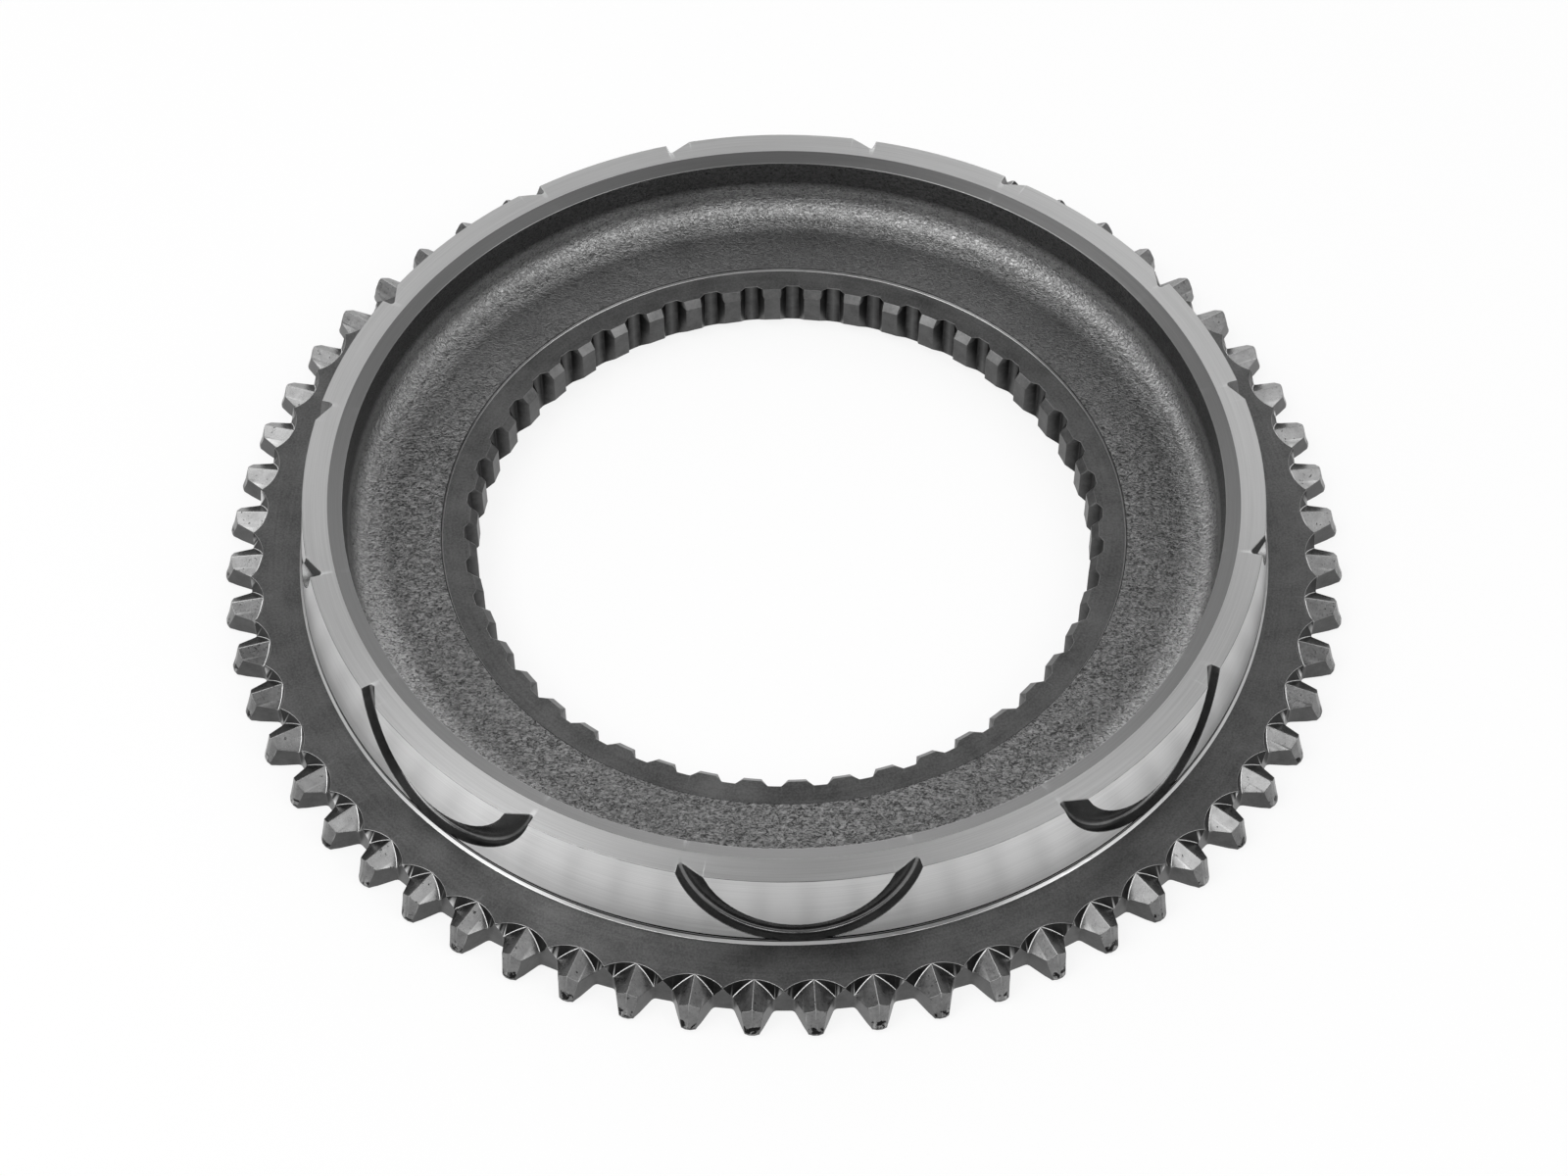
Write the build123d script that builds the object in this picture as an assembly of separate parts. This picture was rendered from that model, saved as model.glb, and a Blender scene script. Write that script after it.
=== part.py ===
from build123d import *
import os
from math import acos, cos, degrees, radians, sin, sqrt, tan

# Coupling cone of a truck gearbox synchroniser, forged and machined from one piece of steel.
# Millimetres. Origin on the axis at the flat underside, +Z towards the small end of the cone.

# Heights above the underside
overall_height = 23.2
flange_thickness = 6.6
web_thickness = 10.5
ring_recess = 0.6

# Friction cone, the flat land on top of it and the chamfer inside the land
cone_top_radius = 88.5
cone_half_angle = 6.3
land_width = 4.6
inner_chamfer_width = 2.7
inner_chamfer_depth = 0.75

# Dished inside
wall_draft = 3.0
web_fillet = 3.6
ring_width = 4.0
ring_step_slope = 0.15

# Grinding relief at the foot of the cone, and the collar under it
relief_height = 0.95
relief_width = 0.42
relief_depth = 0.5
collar_chamfer = 0.45

# Dog teeth round the flange: their outline seen from above
dog_tooth_count = 60
dog_tooth_phase = 3.0
dog_root_outside_cone = 11.3
dog_tooth_length = 5.7
dog_base_width = 6.85
dog_flank_angle = 23.6
dog_root_fillet = 0.9
dog_nose_width = 1.0
dog_nose_angle = 24.0
dog_nose_lower_height = 3.1
dog_nose_lower_lean = 20.0
dog_nose_upper_lean = 14.8

# Pointing of the dog teeth: two roof facets each, and the wall that they leave in the flange
roof_angle = 35.0
ridge_fall = 2.4
scallop_inset = 2.2
cusp_inset = 0.08
scallop_lean = 23.0

# Involute spline in the bore
spline_tooth_count = 46
spline_phase = 2.3
spline_module = 2.5
spline_pressure_angle = 25.0
spline_space_width = 4.8
spline_tip_outside_pitch = 0.05
spline_root_outside_pitch = 2.3
spline_chamfer_width = 1.3
spline_chamfer_angle = 45.0
bore_lead_margin = 0.3
bore_lead_angle = 45.0

# Oil grooves across the cone, each an arc about a centre above the rim
groove_count = 8
groove_phase = 1.7
groove_arc_height = 5.9
groove_arc_radius = 21.95
groove_depth = 2.1
groove_wall_height = 1.5
groove_bend_width = 0.25
groove_bend_depth = 1.87
groove_corner_width = 0.85
groove_floor_angle = 30.0

# Cutting tools reach this far past the metal
overreach = 2.0

# Sizes that follow from those above
cone_slope = tan(radians(cone_half_angle))
ring_height = web_thickness - ring_recess
dog_pitch = 360 / dog_tooth_count
dog_root_radius = cone_top_radius + dog_root_outside_cone
dog_tip_radius = dog_root_radius + dog_tooth_length
dog_pitch_length = radians(dog_pitch) * dog_root_radius
spline_pitch_radius = spline_module * spline_tooth_count / 2
spline_minor_radius = spline_pitch_radius + spline_tip_outside_pitch
spline_major_radius = spline_pitch_radius + spline_root_outside_pitch
groove_pitch = 360 / groove_count


def polar(radius, angle):
    """Point at a radius and an angle in degrees."""
    return (radius * cos(radians(angle)), radius * sin(radians(angle)))


def cone_radius(height):
    """Radius of the friction cone at a height above the underside."""
    return cone_top_radius + (overall_height - height) * cone_slope


def blank():
    """Turned ring without teeth, spline or grooves."""
    chamfer_height = spline_chamfer_width / tan(radians(spline_chamfer_angle))
    bore_edge = spline_minor_radius + spline_chamfer_width
    lead_edge = spline_major_radius + bore_lead_margin
    lead_height = (lead_edge - spline_minor_radius) / tan(radians(bore_lead_angle))
    ring_edge = spline_major_radius + ring_width
    land_inner = cone_top_radius - land_width
    wall_top = (land_inner - inner_chamfer_width, overall_height - inner_chamfer_depth)
    wall_foot = wall_top[0] - (wall_top[1] - web_thickness) * tan(radians(wall_draft))
    relief_bottom = flange_thickness + relief_height
    relief_top = relief_bottom + relief_width
    relief_floor = cone_radius(relief_top) - relief_depth
    collar_radius = cone_radius(relief_bottom)
    inside = Polyline(
        (lead_edge, 0),
        (spline_minor_radius, lead_height),
        (spline_minor_radius, ring_height - chamfer_height),
        (bore_edge, ring_height),
        (ring_edge, ring_height),
        (ring_edge + ring_step_slope, web_thickness),
        (wall_foot, web_thickness),
        wall_top,
        (land_inner, overall_height),
        (cone_top_radius, overall_height),
    )
    outside = Polyline(
        (cone_top_radius, overall_height),
        (cone_radius(relief_top), relief_top),
        (relief_floor, relief_top),
        (relief_floor, relief_bottom),
        (collar_radius, relief_bottom),
        (collar_radius, flange_thickness + collar_chamfer),
        (collar_radius + collar_chamfer, flange_thickness),
        (dog_tip_radius + overreach, flange_thickness),
        (dog_tip_radius + overreach, 0),
        (lead_edge, 0),
    )
    section = make_face([inside, outside])
    web_corner = section.vertices().sort_by_distance((wall_foot, web_thickness, 0))[0]
    return revolve(Plane.XZ * fillet(web_corner, web_fillet), Axis.Z)


def dog_tooth_outline(turn):
    """Edges of one uncut dog tooth seen from above and of the valley after it, turned about the axis."""
    lean = radians(dog_flank_angle)
    base_half = dog_base_width / 2
    past_tip = dog_tip_radius + overreach / 4
    flank_end = Vector(past_tip, base_half - (past_tip - dog_root_radius) * tan(lean))
    down_flank = Vector(-cos(lean), sin(lean))
    off_flank = Vector(sin(lean), cos(lean))
    over_foot = Vector(dog_root_radius, base_half) + off_flank * dog_root_fillet
    over_root = dog_root_radius + dog_root_fillet
    reach = over_foot.dot(down_flank)
    slide = reach + sqrt(reach**2 - over_foot.dot(over_foot) + over_root**2)
    fillet_centre = over_foot - down_flank * slide
    flank_foot = fillet_centre - off_flank * dog_root_fillet
    root_point = fillet_centre * (dog_root_radius / over_root)
    half = [Line(flank_end, flank_foot), TangentArc(flank_foot, root_point, tangent=down_flank)]
    valley_end = Vector(root_point.X, -root_point.Y).rotate(Axis.Z, dog_pitch)
    whole = [
        *half,
        *[edge.mirror(Plane.XZ) for edge in half],
        Line(flank_end, (flank_end.X, -flank_end.Y)),
        ThreePointArc(root_point, polar(dog_root_radius, dog_pitch / 2), valley_end),
    ]
    return [Rot(0, 0, turn) * edge for edge in whole]


def dog_ring_prism():
    """Upright prism over the whole outline of the ring, teeth and root fillets included."""
    edges = []
    for i in range(dog_tooth_count):
        edges += dog_tooth_outline(dog_tooth_phase + i * dog_pitch)
    return extrude(make_face(edges), overall_height + overreach)


def nose_section(height, reach):
    """Level section through the room behind a tooth's nose, along +X: one facet ahead and one each side."""
    half = dog_pitch_length
    nose_half = dog_nose_width / 2
    shoulder = reach - (half - nose_half) * tan(radians(dog_nose_angle))
    back = dog_root_radius - 2 * dog_pitch_length
    right = [(back, -half), (shoulder, -half), (reach, -nose_half)]
    left = [(reach, nose_half), (shoulder, half), (back, half)]
    return Pos(0, 0, height) * Polygon(*right, *left, align=None)


def kept_tooth():
    """Room that one dog tooth along +X may fill: under its two roof facets and behind its leaning nose."""
    fall = radians(ridge_fall)
    apex = Plane(
        origin=(dog_root_radius - scallop_inset, 0, flange_thickness),
        x_dir=(0, 1, 0),
        z_dir=(cos(fall), 0, -sin(fall)),
    )
    half = dog_pitch_length
    eaves = half * tan(radians(roof_angle))
    depth = eaves + flange_thickness
    roof = Polygon((0, 0), (-half, -eaves), (-half, -depth), (half, -depth), (half, -eaves), align=None)
    lower_slope = tan(radians(dog_nose_lower_lean))
    brow = dog_tip_radius - dog_nose_lower_height * lower_slope
    crest_height = flange_thickness + overreach
    crest = brow - (crest_height - dog_nose_lower_height) * tan(radians(dog_nose_upper_lean))
    nose = loft([
        nose_section(-overreach, dog_tip_radius + overreach * lower_slope),
        nose_section(dog_nose_lower_height, brow),
        nose_section(crest_height, crest),
    ], ruled=True)
    return extrude(apex * roof, 2 * half, both=True) & nose


def pointing_cut():
    """Metal taken off one dog tooth along +X: a leaning round pocket, down to the tooth that is kept."""
    apex_radius = dog_root_radius - scallop_inset
    cusp = polar(dog_root_radius - cusp_inset, dog_pitch / 2)
    pocket_centre = (cusp[0] ** 2 + cusp[1] ** 2 - apex_radius**2) / (2 * (cusp[0] - apex_radius))
    pocket_radius = pocket_centre - apex_radius
    lean = tan(radians(scallop_lean))
    pocket = Cone(
        pocket_radius - (flange_thickness + overreach / 2) * lean,
        pocket_radius + overreach * lean,
        flange_thickness + 1.5 * overreach,
        align=(Align.CENTER, Align.CENTER, Align.MIN),
    )
    return Pos(pocket_centre, 0, -overreach / 2) * pocket - kept_tooth()


def involute(angle):
    """Involute function of an angle in radians."""
    return tan(angle) - angle


def flank_point(radius, side):
    """Point on the flank of the spline space along +X, at a radius."""
    pressure = radians(spline_pressure_angle)
    at_radius = acos(spline_pitch_radius * cos(pressure) / radius)
    half_angle = spline_space_width / (2 * spline_pitch_radius) + involute(pressure) - involute(at_radius)
    return (radius * cos(half_angle), side * radius * sin(half_angle))


def spline_space_outline():
    """One spline space along +X, from inside the bore to the major circle."""
    inner_radius = spline_minor_radius - overreach
    left = [flank_point(r, 1) for r in (spline_major_radius, spline_minor_radius, inner_radius)]
    right = [flank_point(r, -1) for r in (inner_radius, spline_minor_radius, spline_major_radius)]
    root = ThreePointArc(right[-1], (spline_major_radius, 0), left[0])
    return make_face([root, Polyline(*left, *right)])


def spline_prism():
    """Upright prism of every spline space, joined inside the bore."""
    step = 360 / spline_tooth_count
    outline = Circle(spline_minor_radius - overreach / 2)
    space = spline_space_outline()
    outline += [Rot(0, 0, spline_phase + i * step) * space for i in range(spline_tooth_count)]
    return extrude(outline, overall_height)


def groove_section():
    """Section of an oil groove: x from its outer wall, negative inwards, and y out of the cone."""
    floor = tan(radians(groove_floor_angle))
    toe = (-groove_corner_width, -groove_depth)
    lip = (toe[0] - (groove_depth + overreach) / floor, overreach)
    bend = (-groove_bend_width, -groove_bend_depth)
    return Polygon((0, overreach), lip, toe, bend, (0, -groove_wall_height), align=None)


def groove_plane(turn):
    """Plane across a groove whose middle is on +X, at an angle round the groove's own arc."""
    slope = radians(cone_half_angle)
    along = groove_arc_radius * sin(radians(turn))
    up = groove_arc_height - groove_arc_radius * cos(radians(turn))
    radius = cone_top_radius - up * sin(slope)
    azimuth = along / radius
    outward = Vector(cos(azimuth), sin(azimuth), 0)
    sideways = Vector(-sin(azimuth), cos(azimuth), 0)
    uphill = outward * -sin(slope) + Vector(0, 0, cos(slope))
    normal = outward * cos(slope) + Vector(0, 0, sin(slope))
    across = sideways * sin(radians(turn)) - uphill * cos(radians(turn))
    origin = outward * radius + Vector(0, 0, overall_height + up * cos(slope))
    return Plane(origin=origin, x_dir=across, z_dir=across.cross(normal))


def groove_cut():
    """Metal taken out for one oil groove, which runs out through the land at both ends."""
    runout = acos(max(-1, (groove_arc_height - groove_depth - overreach) / groove_arc_radius))
    stations = 12
    turns = [degrees(runout) * (2 * i / stations - 1) for i in range(stations + 1)]
    return loft([groove_plane(turn) * groove_section() for turn in turns])


def coupling_cone():
    """The whole ring."""
    ring = (blank() - spline_prism()) & dog_ring_prism()
    pointing = pointing_cut()
    groove = groove_cut()
    cuts = [Rot(0, 0, dog_tooth_phase + i * dog_pitch) * pointing for i in range(dog_tooth_count)]
    cuts += [Rot(0, 0, groove_phase + i * groove_pitch) * groove for i in range(groove_count)]
    return ring - cuts


os.makedirs("parts", exist_ok=True)
export_step(coupling_cone(), "parts/coupling_cone.step")
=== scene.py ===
"""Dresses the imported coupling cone: a finely modelled ring in place of the plain solid, and its studio.

Sizes are in millimetres until the mesh is made; the scene is in metres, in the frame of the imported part.
"""

import logging
import math
from dataclasses import dataclass, field
from enum import Enum
from typing import Any, Iterable, Sequence

import bmesh
import bpy
import numpy as np
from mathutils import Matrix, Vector

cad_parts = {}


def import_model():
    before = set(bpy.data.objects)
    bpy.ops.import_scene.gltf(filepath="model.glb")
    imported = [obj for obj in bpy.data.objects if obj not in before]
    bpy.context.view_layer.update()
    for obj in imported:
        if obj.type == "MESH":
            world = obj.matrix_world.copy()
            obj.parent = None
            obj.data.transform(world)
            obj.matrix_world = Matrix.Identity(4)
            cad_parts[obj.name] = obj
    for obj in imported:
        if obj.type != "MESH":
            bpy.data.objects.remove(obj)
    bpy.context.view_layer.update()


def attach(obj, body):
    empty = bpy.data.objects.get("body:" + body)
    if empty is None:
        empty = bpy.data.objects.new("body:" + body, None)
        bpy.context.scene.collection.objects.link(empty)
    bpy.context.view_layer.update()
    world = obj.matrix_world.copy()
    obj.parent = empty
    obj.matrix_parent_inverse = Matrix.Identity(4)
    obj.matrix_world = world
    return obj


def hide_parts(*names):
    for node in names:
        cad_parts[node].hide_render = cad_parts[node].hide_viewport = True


LOG = logging.getLogger("coupling_cone")
MM = 0.001
NODE = "coupling_cone"
TINY = 1e-6
CORNER_ROOM = 0.45  # share of a corner's shorter side that its rounding may take
MOST_TURN = 3.0  # radians, the sharpest corner that is rounded as it is
# edge values on the points: lighter edges are partly bare metal and partly painted highlight, dark lines and
# dark spline spaces are painted shade
EDGE_WEAR_AND_LIGHT_ATTRIBUTE = "edge_wear_and_painted_light"

Colour = tuple[float, float, float, float]


class Zone(Enum):
    """The differently finished zones of the ring, by material name; the relief and the scallop walls are
    zones of painted shade.
    """

    GROUND = "ground_steel"
    LAND = "ground_land_steel"
    TURNED = "turned_steel"
    COLLAR = "collar_steel"
    RELIEF = "relief_shadow_steel"
    FACE = "hardened_face"
    FORGED = "forged_steel"
    TEETH = "dog_tooth_steel"
    FLANK = "flank_steel"
    SCALLOP = "scallop_painted_shade_steel"
    GROOVE = "groove_steel"
    SPLINE = "spline_steel"
    CHAMFER = "spline_chamfer_steel"


ZONE_ORDER = list(Zone)


# Column geometry


@dataclass(frozen=True)
class Corner:
    """A corner of a radial profile.

    Args:
        zone: finish of the run that starts at the corner.
        radius: rounding radius in mm, 0 for none, or one for each column.
        steps: number of points that the rounding gets.
        edge: how much the corner shows as an edge, 1 for a lighter edge that is partly bare metal and partly
            a painted highlight, -1 for a dark line of painted shade.
    """

    zone: Zone
    radius: float | np.ndarray = 0.0
    steps: int = 1
    edge: float = 0.0


@dataclass
class Sheet:
    """A grid of points: columns round the axis, rows along the profile.

    Args:
        points: array of columns x rows x 3, in mm.
        zones: finish of each run between two rows.
        wear_and_painted_light: columns x rows, how much each point shows as an edge, from -1 to 1; above 0
            partly bare metal and partly painted highlight, below 0 painted shade.
    """

    points: np.ndarray
    zones: list[Zone]
    wear_and_painted_light: np.ndarray


def slope_of(degrees: float) -> float:
    """Rise of a line over its run, from its angle in degrees."""
    return math.tan(math.radians(degrees))


def distances(steps: np.ndarray) -> np.ndarray:
    """Lengths of an array of 2-D steps."""
    return np.sqrt((steps**2).sum(-1))


def neighbour(profile: np.ndarray, index: int, order: Iterable[int]) -> np.ndarray:
    """Steps from one corner to the nearest other point of its profile that isn't in the same place.

    Args:
        profile: columns x corners x 2.
        index: the corner.
        order: the corners to try, nearest first.

    Returns:
        One 2-D step for each column, zero where there is none.
    """
    found = np.zeros_like(profile[:, index])
    for other in order:
        step = profile[:, other] - profile[:, index]
        empty = (distances(found) < TINY) & (distances(step) >= TINY)
        found[empty] = step[empty]
    return found


def rounded(profile: np.ndarray, corners: Sequence[Corner]) -> tuple[np.ndarray, list[Zone], list[float]]:
    """Rounds the corners of many profiles at once.

    Args:
        profile: columns x corners x 2; corners that a column lacks repeat the one before.
        corners: one for each point of the profile.

    Returns:
        The denser profile, the finish of each run between its points, and the edge value of each point,
        lighter for bare metal with painted highlight, darker for painted shade.
    """
    count = profile.shape[1]
    rows = [profile[:, :1]]
    zones: list[Zone] = []
    wear_and_painted_light = [0.0]
    last_end = profile[:, 0]
    for i in range(1, count - 1):
        before = neighbour(profile, i, range(i - 1, -1, -1))
        after = neighbour(profile, i, range(i + 1, count))
        long_before, long_after = distances(before), distances(after)
        unit_before = before / np.maximum(long_before, TINY)[:, None]
        unit_after = after / np.maximum(long_after, TINY)[:, None]
        cosine = (unit_before * unit_after).sum(-1)
        turn = np.minimum(np.pi - np.arccos(np.clip(cosine, -1, 1)), MOST_TURN)
        room = CORNER_ROOM * np.minimum(long_before, long_after)
        reach = np.minimum(corners[i].radius * np.tan(turn / 2), room)[:, None]
        pull = np.cos(turn / 2)[:, None]
        start = profile[:, i] + unit_before * reach
        end = profile[:, i] + unit_after * reach
        repeated = distances(profile[:, i] - profile[:, i - 1]) < TINY
        shares = np.linspace(0, 1, corners[i].steps) if corners[i].steps > 1 else np.array([0.5])
        for j, share in enumerate(shares):
            ends = (1 - share) ** 2 * start + share**2 * end
            middle = 2 * share * (1 - share) * pull
            point = (ends + middle * profile[:, i]) / ((1 - share) ** 2 + share**2 + middle)
            point[repeated] = last_end[repeated]
            rows.append(point[:, None])
            zones.append(corners[i - 1].zone if j == 0 or share <= 0.5 else corners[i].zone)
            wear_and_painted_light.append(corners[i].edge * (1.0 if 0 < share < 1 else 0.0))
        last_end = np.where(repeated[:, None], last_end, end if corners[i].steps > 1 else profile[:, i])
    rows.append(profile[:, -1:])
    zones.append(corners[count - 2].zone)
    wear_and_painted_light.append(0.0)
    return np.concatenate(rows, axis=1), zones, wear_and_painted_light


def row_wear_and_painted_light(wear_and_painted_light: list[float], columns: int) -> np.ndarray:
    """The edge values of each row, painted highlight and painted shade among them, repeated for a number of
    columns.
    """
    return np.tile(wear_and_painted_light, (columns, 1))


def first_row(corners: Sequence[Corner], index: int) -> int:
    """The row at which a corner's own points start, once the profile is rounded."""
    return 1 + sum(corner.steps for corner in corners[1:index])


def profiles_through(*points: tuple[np.ndarray, np.ndarray]) -> np.ndarray:
    """Radial profiles through points, each given as the radius and the height at every column."""
    return np.stack([np.stack(point, -1) for point in points], axis=1)


def spaced(marks: Iterable[float], gap: float) -> np.ndarray:
    """The marks in order, without those that lie closer than a gap to the one before."""
    ordered = np.array(sorted(marks))
    return ordered[np.concatenate([[True], np.diff(ordered) > gap])]


def off_middle(angles: np.ndarray, count: int, phase: float) -> np.ndarray:
    """Angle of each column from the middle of its own pitch.

    Args:
        angles: the angle of each column, in radians.
        count: number of pitches.
        phase: angle of the first middle, in radians.

    Returns:
        The angles, never negative, in radians.
    """
    pitch = 2 * math.pi / count
    return np.abs(np.mod(angles - phase + pitch / 2, pitch) - pitch / 2)


def turned_to(profile: np.ndarray, angles: np.ndarray) -> np.ndarray:
    """Stands radial profiles up round the axis.

    Args:
        profile: columns x rows x 2, radius and height.
        angles: the angle of each column in radians.

    Returns:
        columns x rows x 3 points.
    """
    radius, height = profile[..., 0], profile[..., 1]
    return np.stack([radius * np.cos(angles)[:, None], radius * np.sin(angles)[:, None], height], -1)


def round_the_ring(
    half: np.ndarray, profile: np.ndarray, count: int, phase: float
) -> tuple[np.ndarray, np.ndarray]:
    """Repeats the profiles of half a pitch round the whole ring, each second half mirrored.

    Args:
        half: angles from the middle of a pitch to its end, in radians.
        profile: columns x rows x 2 at these angles.
        count: number of pitches.
        phase: angle of the first middle, in radians.

    Returns:
        The angles and the profiles of all columns, in order.
    """
    pitch_angles = np.concatenate([-half[:0:-1], half[:-1]])
    pitch_profile = np.concatenate([profile[:0:-1], profile[:-1]])
    turns = phase + 2 * np.pi * np.arange(count) / count
    angles = (turns[:, None] + pitch_angles).ravel()
    return angles, np.concatenate([pitch_profile] * count)


@dataclass
class DogRing:
    """Flange with its pointed dog teeth, outside the seam radius. Sizes in mm and degrees.

    worn_reach is how far from its middle a tooth's tip is worn, and ridge_wear_and_highlight and
    ridge_half_width say how light and how wide the line along its ridge is, a line of worn metal with a
    painted highlight. The fields after
    them place the columns of the mesh: gaps beside the ridge and the nose's edges, the least gap between two
    columns, and how finely and how often the edges of the facets are searched.
    """

    count: int = 60
    phase: float = 3.0
    thickness: float = 6.6
    seam_radius: float = 95.0
    root_radius: float = 99.8
    tip_radius: float = 105.5
    base_width: float = 6.85
    flank_angle: float = 23.6
    root_fillet: float = 0.9
    nose_width: float = 1.0
    nose_angle: float = 24.0
    brow_height: float = 3.1
    lower_lean: float = 20.0
    upper_lean: float = 14.8
    roof_angle: float = 35.0
    ridge_fall: float = 2.4
    ridge_round: float = 0.05
    scallop_inset: float = 2.2
    cusp_inset: float = 0.08
    scallop_lean: float = 23.0
    edge_round: float = 0.14
    tip_round: float = 0.8
    foot_round: float = 0.3
    scallop_round: float = 0.1
    worn_reach: float = 2.0
    ridge_wear_and_highlight: float = 0.35
    ridge_half_width: float = 0.08
    ridge_gaps: tuple[float, float] = (0.05, 0.12)
    nose_gap: float = 0.09
    least_gap: float = 0.01
    probes: int = 4001
    searches: int = 60

    def outline(self, angle: np.ndarray) -> np.ndarray:
        """Radius of flank, root fillet and root.

        Args:
            angle: angles from a tooth's middle, in radians.

        Returns:
            The radius at each angle.
        """
        lean = math.radians(self.flank_angle)
        slope = math.tan(lean)
        base = self.base_width / 2
        flank = (base + self.root_radius * slope) / (np.sin(angle) + slope * np.cos(angle))
        centre, fillet_angle, foot_angle = self.fillet()
        swing = self.root_fillet**2 - (centre * np.sin(angle - fillet_angle)) ** 2
        fillet = centre * np.cos(angle - fillet_angle) - np.sqrt(np.maximum(swing, 0))
        inner = np.where(angle < fillet_angle, fillet, self.root_radius)
        return np.where(angle < foot_angle, flank, inner)

    def fillet(self) -> tuple[float, float, float]:
        """Finds the root fillet, which touches the flank and the root.

        Returns:
            Radius and angle of its centre, and the angle of its end on the flank.
        """
        lean = math.radians(self.flank_angle)
        down = Vector((-math.cos(lean), math.sin(lean)))
        off = Vector((math.sin(lean), math.cos(lean)))
        centre_radius = self.root_radius + self.root_fillet
        foot = Vector((self.root_radius, self.base_width / 2)) + off * self.root_fillet
        reach = foot.dot(down)
        centre = foot - down * (reach + math.sqrt(reach**2 - foot.dot(foot) + centre_radius**2))
        flank_foot = centre - off * self.root_fillet
        return centre_radius, math.atan2(centre.y, centre.x), math.atan2(flank_foot.y, flank_foot.x)

    def nose_reach(self, height: np.ndarray) -> np.ndarray:
        """How far out the front of the nose reaches.

        Args:
            height: heights above the underside.

        Returns:
            The reach at each height.
        """
        lower = slope_of(self.lower_lean)
        upper = slope_of(self.upper_lean)
        low = np.minimum(height, self.brow_height)
        return self.tip_radius - low * lower - np.maximum(height - self.brow_height, 0) * upper

    def nose(self, angle: np.ndarray, reach: np.ndarray) -> np.ndarray:
        """Radius of the nose's front and side facets.

        Args:
            angle: angles from a tooth's middle, in radians.
            reach: how far out the front reaches, from nose_reach.

        Returns:
            The radius at each angle.
        """
        side = slope_of(self.nose_angle)
        front = reach / np.cos(angle)
        beside = (reach + self.nose_width / 2 * side) / (np.cos(angle) + side * np.sin(angle))
        return np.minimum(front, beside)

    def shoulder_height(self, angle: np.ndarray) -> np.ndarray:
        """Height at which the nose takes over from the flank.

        Args:
            angle: angles from a tooth's middle, in radians.

        Returns:
            The height at each angle.
        """
        side = slope_of(self.nose_angle)
        edge = self.outline(angle)
        front = edge * np.cos(angle)
        beside = edge * (np.cos(angle) + side * np.sin(angle)) - self.nose_width / 2 * side
        reach = np.maximum(front, beside)
        lower = slope_of(self.lower_lean)
        upper = slope_of(self.upper_lean)
        brow = self.tip_radius - self.brow_height * lower
        below = (self.tip_radius - reach) / lower
        above = self.brow_height + (brow - reach) / upper
        return np.where(reach > brow, below, above)

    def boundary(self, angle: np.ndarray, height: np.ndarray) -> np.ndarray:
        """Outer radius of a tooth at an angle and a height."""
        return np.minimum(self.outline(angle), self.nose(angle, self.nose_reach(height)))

    def pocket(self) -> tuple[float, float]:
        """Finds the round outline of a scallop at the flange's top.

        Returns:
            Distance of its centre from the axis, and its radius.
        """
        apex = self.root_radius - self.scallop_inset
        cusp = self.root_radius - self.cusp_inset
        half_pitch = math.pi / self.count
        x = cusp * math.cos(half_pitch)
        centre = (cusp**2 - apex**2) / (2 * (x - apex))
        return centre, centre - apex

    def roof(self, radius: np.ndarray, angle: np.ndarray) -> np.ndarray:
        """Height of the roof facets, with the ridge slightly rounded.

        Args:
            radius: distances from the axis.
            angle: angles from the tooth's middle, in radians.

        Returns:
            The height at each place.
        """
        fall = math.radians(self.ridge_fall)
        across = np.sqrt((radius * np.sin(angle)) ** 2 + self.ridge_round**2)
        along = radius * np.cos(angle) - (self.root_radius - self.scallop_inset)
        slope = slope_of(self.roof_angle) / math.cos(fall)
        return self.thickness - along * math.tan(fall) - across * slope

    def scallop(self, radius: np.ndarray, angle: np.ndarray) -> np.ndarray:
        """Height of the scallop's leaning wall, capped by the flange's top.

        Args:
            radius: distances from the axis.
            angle: angles from the tooth's middle, in radians.

        Returns:
            The height at each place.
        """
        centre, pocket_radius = self.pocket()
        off = np.sqrt((radius * np.cos(angle) - centre) ** 2 + (radius * np.sin(angle)) ** 2)
        wall = self.thickness - (pocket_radius - off) / slope_of(self.scallop_lean)
        return np.minimum(wall, self.thickness)

    def half_angles(self) -> np.ndarray:
        """Places the columns between a tooth's middle and the valley's, on the edges of its facets.

        Returns:
            Their angles from the tooth's middle, in radians.
        """
        half_pitch = math.pi / self.count
        _, root_angle, foot_angle = self.fillet()
        probe = np.linspace(0, half_pitch, self.probes)
        shoulder = self.shoulder_height(probe)
        eaves = self.roof(self.outline(probe), probe)
        low = probe[np.argmax(shoulder > 0)]
        high = probe[np.argmax(shoulder > eaves)]
        meets = probe[np.argmax((self.scallop(self.outline(probe), probe) > eaves) & (probe > high))]
        nose_edge = self.nose_width / 2 / self.tip_radius
        soft = self.nose_gap / self.tip_radius
        marks = [0, *(gap / self.tip_radius for gap in self.ridge_gaps), nose_edge - soft, nose_edge + soft]
        marks += [*np.linspace(low, high, 5), high + 2 * soft]
        marks += [(high + foot_angle) / 2, foot_angle, meets]
        marks += [*np.linspace(foot_angle, root_angle, 4)[1:], *np.linspace(root_angle, half_pitch, 4)[1:]]
        return spaced(marks, self.least_gap / self.tip_radius)

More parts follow.
